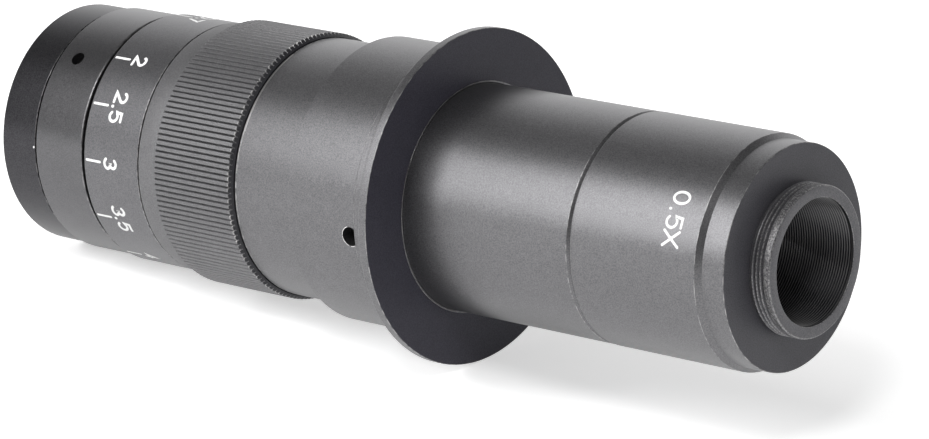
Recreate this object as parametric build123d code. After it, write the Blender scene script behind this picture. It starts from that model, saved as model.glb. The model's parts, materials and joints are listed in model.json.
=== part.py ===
from build123d import *
from math import asin, cos, pi, radians, sin
import os

# Zoom lens with a camera adapter, turned about one optical axis. It stands on its objective end.
# The axis is Z, the objective face is at z = 0 and the camera thread is at the top.
# Angles are in degrees from +X, anticlockwise seen from the camera end. The readings face -Y.
# Every size is in millimetres.

# Outside, from the objective end to the camera end
objective_ring_d = 43.4
objective_ring_length = 8.25
index_ring_d = 44.2
index_ring_length = 11.35
ring_groove = 0.7
ring_groove_depth = 0.5
scale_gap = 1.1
scale_ring_d = 45.0
scale_ring_length = 13.05
scale_joint = 0.35
land_d = 45.2
land_length = 3.95
knurl_d = 47.5
knurl_length = 19.25
knurl_pitch = 1.0
knurl_depth = 0.4
knurl_flat = 0.62
knurl_lead_in = 1.1
knurl_end_chamfer = 0.7
body_gap = 0.25
body_d = 45.8
body_length = 14.2
collar_d = 50.0
collar_length = 14.85
hub_length = 4.75
flange_d = 58.4
flange_thickness = 1.6
rear_tube_d = 39.5
rear_tube_length = 35.7
rear_tube_chamfer = 0.45
tube_joint = 0.45
tube_joint_depth = 0.5
adapter_d = 39.6
adapter_length = 26.35
adapter_taper = 0.95
neck_d = 38.0
neck_length = 4.3
camera_thread_d = 25.4
camera_thread_length = 4.4
camera_bore_d = 21.2

# Clearances
slip = 0.05
run = 0.05
end_play = 0.05
cement = 0.02
edge_break = 0.3
fine_break = 0.15

# Front socket for an auxiliary lens
socket_d = 36.4
socket_depth = 4.0
socket_web = 1.0
front_aperture_d = 28.0

# Guide tube and cam tube
guide_bore_d = 31.0
guide_d = 35.0
cam_wall = 1.95
sleeve_wall = 1.45
washer_width = 1.7
rear_washer_width = 2.6
cam_tail = 2.1
cam_end_wall = 3.0
cam_tail_room = 2.7

# Zoom motion, counted from the rest place, which reads 3
turn_to_high_power = 84.5
turn_to_low_power = 94.0
variator_low_z = 28.0
variator_travel = 12.0
compensator_low_z = 54.0
compensator_travel = 7.5
follower_d = 3.0
follower_count = 2
follower_angle = 0.0
follower_depth = 2.6
slot_clearance = 0.05

# Lens cells
cell_wall = 2.1
seat_width = 1.1
ring_slot_width = 1.2
ring_slot_depth = 0.8
retaining_ring_height = 1.9

front_cell_length = 10.5
front_seat_height = 1.5
front_crown_rim = 2.5
front_flint_rim = 2.0
front_crown_bulge = 1.6
front_cemented_bulge = 1.3
front_rear_bulge = 0.4

variator_cell_length = 7.0
variator_tail = 1.8
variator_seat_height = 2.2
variator_rim = 2.6
variator_hollow = 1.0
variator_extra_wall = 1.9

compensator_cell_length = 7.0
compensator_tail = 1.8
compensator_seat_height = 2.2
compensator_rim = 2.0
compensator_bulge = 1.3

rear_bore_d = 34.0
rear_web = 1.4
rear_aperture_d = 29.0
guide_engagement = 9.0
rear_cell_length = 9.6
rear_seat_height = 2.0
rear_rim = 3.0
rear_bulge = 1.2
rear_cell_pocket_depth = 9.8

# Rear tube, baffle, adapter and relay lens
rear_tube_bore_d = 35.4
hub_wall_share = 0.3
hub_end_gap = 0.1
baffle_thickness = 2.0
baffle_aperture_d = 24.0
baffle_place = 7.0
adapter_spigot_length = 8.0
adapter_bore_d = 32.0
relay_cell_length = 14.5
relay_seat_height = 2.0
relay_web = 1.5
relay_aperture_d = 28.0
relay_crown_rim = 3.6
relay_flint_rim = 2.2
relay_crown_bulge = 1.4
relay_cemented_bulge = 1.8
relay_rear_bulge = 0.5
camera_spigot_d = 35.2
camera_spigot_length = 9.5

# Screws
index_screw_d = 2.5
index_screw_length = 3.0
index_screw_place = 4.25
index_screw_angle = -118.9
collar_screw_d = 3.3
collar_screw_length = 3.0
collar_screw_place = 0.95
collar_screw_angle = -64.7
drive_screw_d = 2.5
drive_screw_place = 2.55
drive_screw_angle = 60.0
screw_count = 3
screw_socket_share = 0.5
screw_socket_depth = 1.3

# Heights of the joints between the pieces
objective_end_z = objective_ring_length
index_z = objective_end_z + ring_groove
index_end_z = index_z + index_ring_length
scale_z = index_end_z + scale_gap
scale_end_z = scale_z + scale_ring_length
land_z = scale_end_z + scale_joint
knurl_z = land_z + land_length
grip_end_z = knurl_z + knurl_length
body_z = grip_end_z + body_gap
collar_z = body_z + body_length
hub_z = collar_z + collar_length
flange_z = hub_z + hub_length
flange_top_z = flange_z + flange_thickness
rear_tube_end_z = flange_top_z + rear_tube_length
adapter_z = rear_tube_end_z + tube_joint
adapter_end_z = adapter_z + adapter_length
shoulder_z = adapter_end_z + neck_length
top_z = shoulder_z + camera_thread_length

# Heights and radii inside
web_z = socket_depth
guide_z = web_z + socket_web
cam_z = scale_z
cam_end_z = max(body_z + cam_tail, compensator_low_z + follower_d / 2 + slot_clearance + cam_end_wall)
cam_room_z = cam_end_z + cam_tail_room - cam_tail
guide_end_z = cam_room_z + guide_engagement
rear_cell_z = guide_end_z + rear_web
rear_tube_z = rear_cell_z + rear_cell_pocket_depth
guide_r = guide_d / 2
guide_bore_r = guide_bore_d / 2
cam_bore_r = guide_r + run
cam_r = cam_bore_r + cam_wall
sleeve_bore_r = cam_r + slip
sleeve_r = sleeve_bore_r + sleeve_wall
cell_r = guide_bore_r - slip
hub_spigot_r = collar_d / 2 - hub_wall_share * (collar_d - rear_tube_d) / 2

# Zoom positions: the two cells at rest, and their places along the guide slots
zoom_turn = turn_to_high_power + turn_to_low_power
variator_high_z = variator_low_z + variator_travel
compensator_high_z = compensator_low_z - compensator_travel
variator_z = variator_low_z + variator_travel * turn_to_low_power / zoom_turn
compensator_z = compensator_low_z - compensator_travel * turn_to_low_power / zoom_turn
slot_width = follower_d + 2 * slot_clearance
follower_angles = [follower_angle + 360 * i / follower_count for i in range(follower_count)]


def spread(first, count=screw_count):
    """Angles of equal pieces round the axis."""
    return [first + 360 * i / count for i in range(count)]


def turned(*outline):
    """Solid turned about the optical axis from a closed outline of (radius, height) points."""
    with BuildPart() as piece:
        with BuildSketch(Plane.XZ):
            with BuildLine():
                Polyline(*outline, close=True)
            make_face()
        revolve(axis=Axis.Z)
    return piece.part


def ring(bore, outer, low, high, low_break=0.0, high_break=0.0):
    """Plain ring with its two outer edges broken."""
    outline = [(bore, low), (outer - low_break, low)]
    if low_break:
        outline.append((outer, low + low_break))
    if high_break:
        outline.append((outer, high - high_break))
    outline += [(outer - high_break, high), (bore, high)]
    return turned(*outline)


def radial(radius, start, end, height, angle):
    """Cylinder that points straight out from the axis, from one distance to another."""
    outward = (cos(radians(angle)), sin(radians(angle)), 0)
    place = Plane(origin=(0, 0, height), x_dir=(0, 0, 1), z_dir=outward)
    return place * Pos(0, 0, (start + end) / 2) * Cylinder(radius, end - start)


def radial_hexagon(across_corners, start, end, height, angle):
    """Hexagonal bar that points straight out from the axis."""
    outward = (cos(radians(angle)), sin(radians(angle)), 0)
    place = Plane(origin=(0, 0, height), x_dir=(0, 0, 1), z_dir=outward)
    hexagon = place * Pos(0, 0, start) * RegularPolygon(across_corners / 2, 6)
    return extrude(hexagon, end - start, dir=outward)


def together(pieces):
    """Several separate solids as one group."""
    return Compound(list(pieces))


def set_screws(diameter, start, end, height, first_angle):
    """Headless screws round the axis, each with a hexagon socket in its outer end."""
    screws = []
    for angle in spread(first_angle):
        blank = radial(diameter / 2, start, end, height, angle)
        socket = radial_hexagon(
            diameter * screw_socket_share, end - screw_socket_depth, end, height, angle
        )
        screws.append(blank - socket)
    return together(screws)


def drill(solid, diameter, start, end, height, angles):
    """The solid with radial holes through it."""
    for angle in angles:
        solid -= radial(diameter / 2, start, end, height, angle)
    return solid


# Optics

def sphere_arc(apex, rim_radius, rim):
    """Meridian of a spherical face from its apex on the axis to its rim."""
    sag = abs(rim - apex)
    sphere = (rim_radius**2 + sag**2) / (2 * sag)
    half = asin(rim_radius / sphere) / 2
    side = 1 if rim > apex else -1
    middle = (sphere * sin(half), apex + side * sphere * (1 - cos(half)))
    return ThreePointArc((0, apex), middle, (rim_radius, rim))


def lens_element(radius, clear, low, high, low_bulge, high_bulge):
    """Lens with a flat rim. A bulge is how far each face stands out of its rim, or in if negative."""
    with BuildPart() as piece:
        with BuildSketch(Plane.XZ):
            with BuildLine():
                sphere_arc(low - low_bulge, clear, low)
                Polyline((clear, low), (radius, low), (radius, high), (clear, high))
                sphere_arc(high + high_bulge, clear, high)
                Line((0, high + high_bulge), (0, low - low_bulge))
            make_face()
        revolve(axis=Axis.Z)
    return piece.part


def lens_cell(outer, pocket, bore, mouth, seat, back):
    """Cup that holds a lens on its seat, with its mouth up or down."""
    return turned((pocket, mouth), (outer, mouth), (outer, back), (bore, back), (bore, seat), (pocket, seat))


def retaining_ring(pocket, seat, facing):
    """Threaded ring on a lens rim. Two spanner slots are cut in the face that looks out of the cell."""
    outer = pocket - slip
    inner = pocket - seat_width
    end = seat + facing * retaining_ring_height
    blank = turned((inner, seat), (outer, seat), (outer, end), (inner, end))
    slot = Pos(0, 0, end) * Box(2 * outer, ring_slot_width, 2 * ring_slot_depth)
    return blank - slot


# Front of the lens, which does not turn

def objective_ring():
    outer = objective_ring_d / 2
    socket = socket_d / 2
    return turned(
        (socket, 0),
        (outer - edge_break, 0),
        (outer, edge_break),
        (outer, objective_end_z - fine_break),
        (outer - fine_break, objective_end_z),
        (guide_r + slip, objective_end_z),
        (guide_r + slip, guide_z),
        (front_aperture_d / 2, guide_z),
        (front_aperture_d / 2, web_z),
        (socket, web_z),
    )


def index_ring():
    outer = index_ring_d / 2
    bore = guide_r + slip
    step = objective_ring_d / 2 - ring_groove_depth
    blank = turned(
        (bore, objective_end_z),
        (step, objective_end_z),
        (step, index_z),
        (outer - fine_break, index_z),
        (outer, index_z + fine_break),
        (outer, index_end_z - edge_break),
        (outer - edge_break, index_end_z),
        (bore, index_end_z),
    )
    height = index_z + index_screw_place
    return drill(blank, index_screw_d + 2 * slip, guide_r - slip, outer + slip,
                 height, spread(index_screw_angle))


def index_set_screws():
    start = guide_r + slip
    return set_screws(index_screw_d, start, start + index_screw_length,
                      index_z + index_screw_place, index_screw_angle)


def guide_tube():
    blank = ring(guide_bore_r, guide_r, guide_z, guide_end_z)
    low = variator_low_z
    high = compensator_low_z
    for angle in follower_angles:
        reach = guide_r + slip
        ends = radial(slot_width / 2, 0, reach, low, angle) + radial(slot_width / 2, 0, reach, high, angle)
        middle = Rot(0, 0, angle) * Pos(reach / 2, 0, (low + high) / 2) * Box(reach, slot_width, high - low)
        blank -= middle + ends
    return blank


# Zoom ring and cam tube, which turn together

def cut_cam_slot(tube, low, high, start_angle, turn):
    """The tube with one helical slot, which starts at the low end and climbs through the signed turn."""
    middle_r = (cam_bore_r + cam_r) / 2
    depth = cam_wall + 4 * run
    path = Helix(pitch=(high - low) * 360 / abs(turn), height=high - low, radius=middle_r, lefthand=turn < 0)
    section = Plane(origin=path @ 0, x_dir=(1, 0, 0), z_dir=path % 0) * Rectangle(depth, slot_width)
    groove = Pos(0, 0, low) * Rot(0, 0, start_angle) * sweep(section, path=path, is_frenet=True)
    inner = middle_r - depth / 2
    outer = middle_r + depth / 2
    first_end = radial(slot_width / 2, inner, outer, low, start_angle)
    last_end = radial(slot_width / 2, inner, outer, high, start_angle + turn)
    return tube - groove - first_end - last_end


def cam_tube():
    blank = ring(cam_bore_r, cam_r, cam_z, cam_end_z)
    for angle in follower_angles:
        variator_start = angle - turn_to_low_power
        compensator_start = angle + turn_to_high_power
        blank = cut_cam_slot(blank, variator_low_z, variator_high_z, variator_start, zoom_turn)
        blank = cut_cam_slot(blank, compensator_high_z, compensator_low_z, compensator_start, -zoom_turn)
    return drill(blank, drive_screw_d + 2 * slip, cam_bore_r - run, cam_r + run,
                 cam_z + drive_screw_place, spread(drive_screw_angle))


def drive_screws():
    return set_screws(drive_screw_d, cam_bore_r + 2 * run, sleeve_r - slip,
                      cam_z + drive_screw_place, drive_screw_angle)


def scale_ring():
    return ring(sleeve_r + slip, scale_ring_d / 2, scale_z, scale_end_z, fine_break, fine_break)


def knurled_bar():
    """Toothed bar with straight grooves of even pitch, as a knurling wheel leaves them."""
    tip = knurl_d / 2
    root = tip - knurl_depth
    teeth = round(pi * knurl_d / knurl_pitch)
    half_flat = knurl_flat / 2 / tip
    corners = []
    for tooth in range(teeth):
        middle = 2 * pi * tooth / teeth
        corners.append((tip * cos(middle - half_flat), tip * sin(middle - half_flat)))
        corners.append((tip * cos(middle + half_flat), tip * sin(middle + half_flat)))
        valley = middle + pi / teeth
        corners.append((root * cos(valley), root * sin(valley)))
    return Pos(0, 0, knurl_z) * extrude(make_face(Polyline(*corners, close=True)), knurl_length)


def grip_ring():
    tip = knurl_d / 2
    land = land_d / 2
    outside = turned(
        (0, knurl_z),
        (tip - knurl_lead_in, knurl_z),
        (tip, knurl_z + knurl_lead_in),
        (tip, grip_end_z - knurl_end_chamfer),
        (tip - knurl_end_chamfer, grip_end_z),
        (0, grip_end_z),
    )
    grip = knurled_bar() & outside
    grip += ring(sleeve_bore_r, land, land_z, knurl_z, fine_break)
    grip += ring(sleeve_bore_r, sleeve_r, scale_z, land_z)
    grip -= Pos(0, 0, (scale_z + grip_end_z) / 2) * Cylinder(sleeve_bore_r, grip_end_z - scale_z)
    return drill(grip, drive_screw_d + 2 * slip, sleeve_bore_r - slip, sleeve_r + slip,
                 cam_z + drive_screw_place, spread(drive_screw_angle))


def front_thrust_washer():
    return ring(cam_bore_r, cam_bore_r + washer_width, index_end_z, cam_z - end_play)


def rear_thrust_washer():
    inner = sleeve_bore_r + slip
    return ring(inner, inner + rear_washer_width, grip_end_z + end_play, body_z)


# Lens groups

def front_group():
    pocket = guide_bore_r - cell_wall
    back = guide_z + front_cell_length
    seat = back - front_seat_height
    clear = pocket - seat_width
    glass = pocket - slip
    flint_low = seat - front_flint_rim
    crown_high = flint_low - cement
    crown_low = crown_high - front_crown_rim
    return {
        "front_cell": lens_cell(cell_r, pocket, clear, guide_z, seat, back),
        "front_crown_element": lens_element(
            glass, clear, crown_low, crown_high, front_crown_bulge, front_cemented_bulge
        ),
        "front_flint_element": lens_element(
            glass, clear, flint_low, seat, -front_cemented_bulge, front_rear_bulge
        ),
        "front_retaining_ring": retaining_ring(pocket, crown_low, -1),
    }


def followers(height):
    """Pins that stand out of a sliding cell, through the straight slots and into the helical ones."""
    start = cell_r - follower_depth
    return together(
        radial(follower_d / 2, start + slip, cam_r - run, height, angle) for angle in follower_angles
    )


def follower_holes(cell, height):
    start = cell_r - follower_depth
    return drill(cell, follower_d + 2 * slip, start, cell_r + slip, height, follower_angles)


def variator():
    pocket = guide_bore_r - cell_wall - variator_extra_wall
    back = variator_z + variator_tail
    mouth = back - variator_cell_length
    seat = back - variator_seat_height
    clear = pocket - seat_width
    low = seat - variator_rim
    cell = lens_cell(cell_r, pocket, clear, mouth, seat, back)
    return {
        "variator_cell": follower_holes(cell, variator_z),
        "variator_lens": lens_element(
            pocket - slip, clear, low, seat, -variator_hollow, -variator_hollow
        ),
        "variator_retaining_ring": retaining_ring(pocket, low, -1),
        "variator_followers": followers(variator_z),
    }


def compensator():
    pocket = guide_bore_r - cell_wall - variator_extra_wall
    back = compensator_z - compensator_tail
    mouth = back + compensator_cell_length
    seat = back + compensator_seat_height
    clear = pocket - seat_width
    high = seat + compensator_rim
    cell = lens_cell(cell_r, pocket, clear, mouth, seat, back)
    return {
        "compensator_cell": follower_holes(cell, compensator_z),
        "compensator_lens": lens_element(
            pocket - slip, clear, seat, high, compensator_bulge, compensator_bulge
        ),
        "compensator_retaining_ring": retaining_ring(pocket, high, 1),
        "compensator_followers": followers(compensator_z),
    }


def rear_group():
    outer = rear_bore_d / 2 - slip
    pocket = outer - cell_wall
    seat = rear_cell_z + rear_seat_height
    clear = pocket - seat_width
    high = seat + rear_rim
    return {
        "rear_cell": lens_cell(outer, pocket, clear, rear_cell_z + rear_cell_length, seat, rear_cell_z),
        "rear_lens": lens_element(pocket - slip, clear, seat, high, rear_bulge, rear_bulge),
        "rear_retaining_ring": retaining_ring(pocket, high, 1),
    }


# Body, flange and rear tube

def collar_holes(solid):
    return drill(solid, collar_screw_d + 2 * slip, rear_tube_d / 2, collar_d / 2 + slip,
                 hub_z - collar_screw_place, spread(collar_screw_angle))


def body_tube():
    outer = body_d / 2
    collar = collar_d / 2
    tube_bore = rear_tube_d / 2 + slip
    blank = turned(
        (sleeve_bore_r + slip, body_z),
        (outer - edge_break, body_z),
        (outer, body_z + edge_break),
        (outer, collar_z),
        (collar - fine_break, collar_z),
        (collar, collar_z + fine_break),
        (collar, hub_z),
        (hub_spigot_r, hub_z),
        (hub_spigot_r, flange_z - hub_end_gap),
        (tube_bore, flange_z - hub_end_gap),
        (tube_bore, rear_tube_z),
        (rear_bore_d / 2, rear_tube_z),
        (rear_bore_d / 2, rear_cell_z),
        (rear_aperture_d / 2, rear_cell_z),
        (rear_aperture_d / 2, guide_end_z),
        (guide_r + slip, guide_end_z),
        (guide_r + slip, cam_room_z),
        (sleeve_bore_r + slip, cam_room_z),
    )
    return collar_holes(blank)


def collar_set_screws():
    start = rear_tube_d / 2 + slip
    return set_screws(collar_screw_d, start, start + collar_screw_length,
                      hub_z - collar_screw_place, collar_screw_angle)


def flange_ring():
    hub = collar_d / 2
    outer = flange_d / 2
    spigot_bore = hub_spigot_r + slip
    tube_bore = rear_tube_d / 2 + slip
    return turned(
        (spigot_bore, hub_z),
        (hub, hub_z),
        (hub, flange_z),
        (outer - fine_break, flange_z),
        (outer, flange_z + fine_break),
        (outer, flange_top_z - fine_break),
        (outer - fine_break, flange_top_z),
        (tube_bore + fine_break, flange_top_z),
        (tube_bore, flange_top_z - fine_break),
        (tube_bore, flange_z),
        (spigot_bore, flange_z),
    )


def rear_tube():
    return ring(rear_tube_bore_d / 2, rear_tube_d / 2, rear_tube_z, rear_tube_end_z, 0, rear_tube_chamfer)


def field_baffle():
    low = flange_top_z + baffle_place
    return ring(baffle_aperture_d / 2, rear_tube_bore_d / 2 - slip, low, low + baffle_thickness)


# Adapter, relay lens and camera ring

def relay_back_z():
    """Height of the shoulder in the adapter that the relay cell is pushed against."""
    return adapter_end_z - camera_spigot_length - relay_web - end_play


def adapter_tube():
    outer = adapter_d / 2
    neck = neck_d / 2
    bore = adapter_bore_d / 2
    spigot = rear_tube_bore_d / 2 - slip
    camera_bore = camera_spigot_d / 2 + slip
    return turned(
        (bore, rear_tube_end_z - adapter_spigot_length),
        (spigot, rear_tube_end_z - adapter_spigot_length),
        (spigot, rear_tube_end_z),
        (outer - tube_joint_depth, rear_tube_end_z),
        (outer - tube_joint_depth, adapter_z),
        (outer - fine_break, adapter_z),
        (outer, adapter_z + fine_break),
        (outer, adapter_end_z - adapter_taper),
        (neck, adapter_end_z),
        (camera_bore, adapter_end_z),
        (camera_bore, relay_back_z() + relay_web),
        (relay_aperture_d / 2, relay_back_z() + relay_web),
        (relay_aperture_d / 2, relay_back_z()),
        (bore, relay_back_z()),
    )


def relay_group():
    outer = adapter_bore_d / 2 - slip
    pocket = outer - cell_wall
    back = relay_back_z()
    seat = back - relay_seat_height
    clear = pocket - seat_width
    glass = pocket - slip
    flint_low = seat - relay_flint_rim
    crown_high = flint_low - cement
    crown_low = crown_high - relay_crown_rim
    return {
        "relay_cell": lens_cell(outer, pocket, clear, back - relay_cell_length, seat, back),
        "relay_crown_element": lens_element(
            glass, clear, crown_low, crown_high, relay_crown_bulge, relay_cemented_bulge
        ),
        "relay_flint_element": lens_element(
            glass, clear, flint_low, seat, -relay_cemented_bulge, relay_rear_bulge
        ),
        "relay_retaining_ring": retaining_ring(pocket, crown_low, -1),
    }


def camera_ring():
    bore = camera_bore_d / 2
    spigot = camera_spigot_d / 2
    neck = neck_d / 2
    nose = camera_thread_d / 2
    return turned(
        (bore, adapter_end_z - camera_spigot_length),
        (spigot, adapter_end_z - camera_spigot_length),
        (spigot, adapter_end_z),
        (neck, adapter_end_z),
        (neck, shoulder_z - fine_break),
        (neck - fine_break, shoulder_z),
        (nose, shoulder_z),
        (nose, top_z - fine_break),
        (nose - fine_break, top_z),
        (bore, top_z),
    )


pieces = {
    "objective_ring": objective_ring(),
    "index_ring": index_ring(),
    "index_set_screws": index_set_screws(),
    "guide_tube": guide_tube(),
    "cam_tube": cam_tube(),
    "drive_screws": drive_screws(),
    "scale_ring": scale_ring(),
    "grip_ring": grip_ring(),
    "front_thrust_washer": front_thrust_washer(),
    "rear_thrust_washer": rear_thrust_washer(),
    **front_group(),
    **variator(),
    **compensator(),
    **rear_group(),
    "body_tube": body_tube(),
    "collar_set_screws": collar_set_screws(),
    "flange_ring": flange_ring(),
    "rear_tube": rear_tube(),
    "field_baffle": field_baffle(),
    "adapter_tube": adapter_tube(),
    **relay_group(),
    "camera_ring": camera_ring(),
}

os.makedirs("parts", exist_ok=True)
for name, piece in pieces.items():
    export_step(piece, f"parts/{name}.step")
print("top of the camera thread", round(top_z, 3))
print("sliding cells at rest", round(variator_z, 3), round(compensator_z, 3))
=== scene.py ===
import json
import math

import bmesh
import bpy
from mathutils import Matrix, Vector


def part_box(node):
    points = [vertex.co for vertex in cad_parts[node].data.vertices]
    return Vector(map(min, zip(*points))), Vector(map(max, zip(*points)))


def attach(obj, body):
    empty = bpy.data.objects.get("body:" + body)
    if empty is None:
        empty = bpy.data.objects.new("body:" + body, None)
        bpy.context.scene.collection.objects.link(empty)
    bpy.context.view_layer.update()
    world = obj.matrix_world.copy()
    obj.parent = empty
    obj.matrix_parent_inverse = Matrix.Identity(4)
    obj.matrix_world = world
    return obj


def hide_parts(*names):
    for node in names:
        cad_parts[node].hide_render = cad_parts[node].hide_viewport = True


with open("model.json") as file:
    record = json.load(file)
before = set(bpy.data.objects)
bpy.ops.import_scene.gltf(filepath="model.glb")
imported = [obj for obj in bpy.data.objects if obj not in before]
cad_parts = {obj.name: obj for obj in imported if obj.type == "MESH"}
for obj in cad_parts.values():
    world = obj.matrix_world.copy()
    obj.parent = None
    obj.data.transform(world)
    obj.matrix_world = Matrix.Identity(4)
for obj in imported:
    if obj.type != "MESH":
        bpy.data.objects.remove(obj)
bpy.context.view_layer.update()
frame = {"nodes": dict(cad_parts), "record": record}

# The lens stands along Z, with its objective face at z = 0 and its camera thread at the top.
# The photograph shows it lying down, so the camera is rolled and the table is a plane that
# touches the objective ring and the flange. Lengths are metres. "Facing" angles are degrees
# from -Y, the side towards the camera, and grow towards +X, which is down in the picture.
MM = 0.001
TURN = 2 * math.pi

# Running gap of the pieces that fit in one another, and what counts as the same length
FIT_GAP = 0.05 * MM
SAME_LENGTH = 1e-6
MICROMETRES = 1e6

# Camera of the photograph
CAMERA_PLACE = Vector((0.0, -0.616689, 0.587608))
CAMERA_AIM = Vector((0.004251, -0.000029, 0.091717))
AXIS_TILT_IN_VIEW = 11.2019
CAMERA_LENS_MM = 178.944
SENSOR_MM = 36.0
VIEW_START = 0.01
VIEW_END = 50.0

# Table under the lens: its downward direction and its distance from the origin
TABLE_DOWN = Vector((0.919566, 0.384447, -0.081230)).normalized()
TABLE_DISTANCE = 0.021628
TABLE_SIZE = 8.0
TABLE_MIDDLE_Z = 80 * MM

# Mesh fineness
RIM_STEPS = 288
CORNER_STEPS = 4
HOLE_STEPS = 64


def low_z(node):
    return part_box(node)[0].z


def high_z(node):
    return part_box(node)[1].z


def outer_r(node):
    """Largest radius of a round node about the optical axis."""
    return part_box(node)[1].x


# Camera and directions in the picture

def picture_axes():
    """Directions of the picture: right, down and into it."""
    inward = (CAMERA_AIM - CAMERA_PLACE).normalized()
    along = (Vector((0, 0, 1)) - inward.z * inward).normalized()
    across = inward.cross(along)
    tilt = math.radians(AXIS_TILT_IN_VIEW)
    right = math.cos(tilt) * along - math.sin(tilt) * across
    down = math.sin(tilt) * along + math.cos(tilt) * across
    return right, down, inward


RIGHT, DOWN, INWARD = picture_axes()


def in_picture(right, up, nearer):
    """Direction given as seen in the picture."""
    return (right * RIGHT - up * DOWN - nearer * INWARD).normalized()


def make_camera():
    data = bpy.data.cameras.new("photo_camera")
    data.lens = CAMERA_LENS_MM
    data.sensor_width = SENSOR_MM
    camera = bpy.data.objects.new("photo_camera", data)
    turn = Matrix((RIGHT, -DOWN, -INWARD)).transposed().to_4x4()
    camera.matrix_world = Matrix.Translation(CAMERA_PLACE) @ turn
    data.clip_start = VIEW_START
    data.clip_end = VIEW_END
    bpy.context.scene.collection.objects.link(camera)
    bpy.context.scene.camera = camera


# Meshes

def add_object(name, mesh, material, body, *nodes, slot=None):
    """Puts a finished mesh in the scene, on its body and in place of the CAD nodes it stands for."""
    piece = bpy.data.objects.new(name, mesh)
    bpy.context.scene.collection.objects.link(piece)
    mesh.materials.append(material)
    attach(piece, body)
    if nodes:
        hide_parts(*nodes)
    return piece


def rounded(outline):
    """Corners (radius, height, break) of a closed outline with each break rounded, as (r, z, wear).

    A break of 0 keeps the corner sharp, and one of -1 keeps it sharp and rubbed bright.
    """
    points = []
    count = len(outline)
    for i, (r, z, size) in enumerate(outline):
        here = Vector((r, z))
        if size <= 0:
            points.append((r, z, 1.0 if size < 0 else 0.0))
            continue
        before = (Vector(outline[i - 1][:2]) - here).normalized()
        after = (Vector(outline[(i + 1) % count][:2]) - here).normalized()
        half = before.angle(after) / 2
        radius = size * math.tan(half)
        centre = here + (before + after).normalized() * radius / math.sin(half)
        first = here + before * size - centre
        last = here + after * size - centre
        sweep = first.angle(last)
        side = 1 if first.x * last.y - first.y * last.x > 0 else -1
        for k in range(CORNER_STEPS + 1):
            part = k / CORNER_STEPS
            angle = side * sweep * part
            x = centre.x + first.x * math.cos(angle) - first.y * math.sin(angle)
            y = centre.y + first.x * math.sin(angle) + first.y * math.cos(angle)
            points.append((x, y, math.sin(math.pi * part)))
    return points


def turned_mesh(name, outline, steps=RIM_STEPS, thread=None, relief=None):
    """Closed outline turned about Z. A thread cuts rows into one wall, and relief shapes the rest."""
    points = rounded(outline)
    if thread:
        points = thread.cut_rows(points)
    mesh = bpy.data.meshes.new(name)
    body = bmesh.new()
    wear = body.verts.layers.float.new("wear")
    columns = []
    for step in range(steps):
        angle = TURN * step / steps
        column = []
        for r, z, worn in points:
            if thread:
                r, worn = thread.shape(r, z, angle, worn)
            if relief:
                r = relief(r, z, angle)
            vert = body.verts.new((r * math.cos(angle), r * math.sin(angle), z))
            vert[wear] = worn
            column.append(vert)
        columns.append(column)
    for step in range(steps):
        here = columns[step]
        there = columns[(step + 1) % steps]
        for i in range(len(points)):
            j = (i + 1) % len(points)
            body.faces.new((here[i], there[i], there[j], here[j]))
    bmesh.ops.recalc_face_normals(body, faces=body.faces)
    finish_mesh(body, mesh)
    return mesh


SHARP_ANGLE = math.radians(34)


def finish_mesh(body, mesh):
    """Writes a bmesh with smooth faces and sharp corners."""
    for face in body.faces:
        face.smooth = True
    for edge in body.edges:
        if len(edge.link_faces) == 2 and edge.calc_face_angle(0.0) > SHARP_ANGLE:
            edge.smooth = False
    body.to_mesh(mesh)
    body.free()


FACE_LIMIT = 0.9
FLAT_WEIGHT = 50


def paint_shade_on_faces(piece, finish=None, limit=FACE_LIMIT, beyond=0.0):
    """Gives the faces that look up the axis, beyond a radius, a darker copy of the finish: painted shade."""
    piece.data.materials.append(finish or FACE_SHADE_BLACK)
    last = len(piece.data.materials) - 1
    for face in piece.data.polygons:
        if face.normal.z > limit and face.center.xy.length > beyond:
            face.material_index = last


def keep_flats(piece):
    """Makes the large faces of a piece shade flat up to its rounded edges."""
    weighted = piece.modifiers.new("weighted", "WEIGHTED_NORMAL")
    weighted.mode = "FACE_AREA"
    weighted.weight = FLAT_WEIGHT
    weighted.keep_sharp = True


CREST_WEAR_AND_HIGHLIGHT_FALL = 2.5


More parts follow.
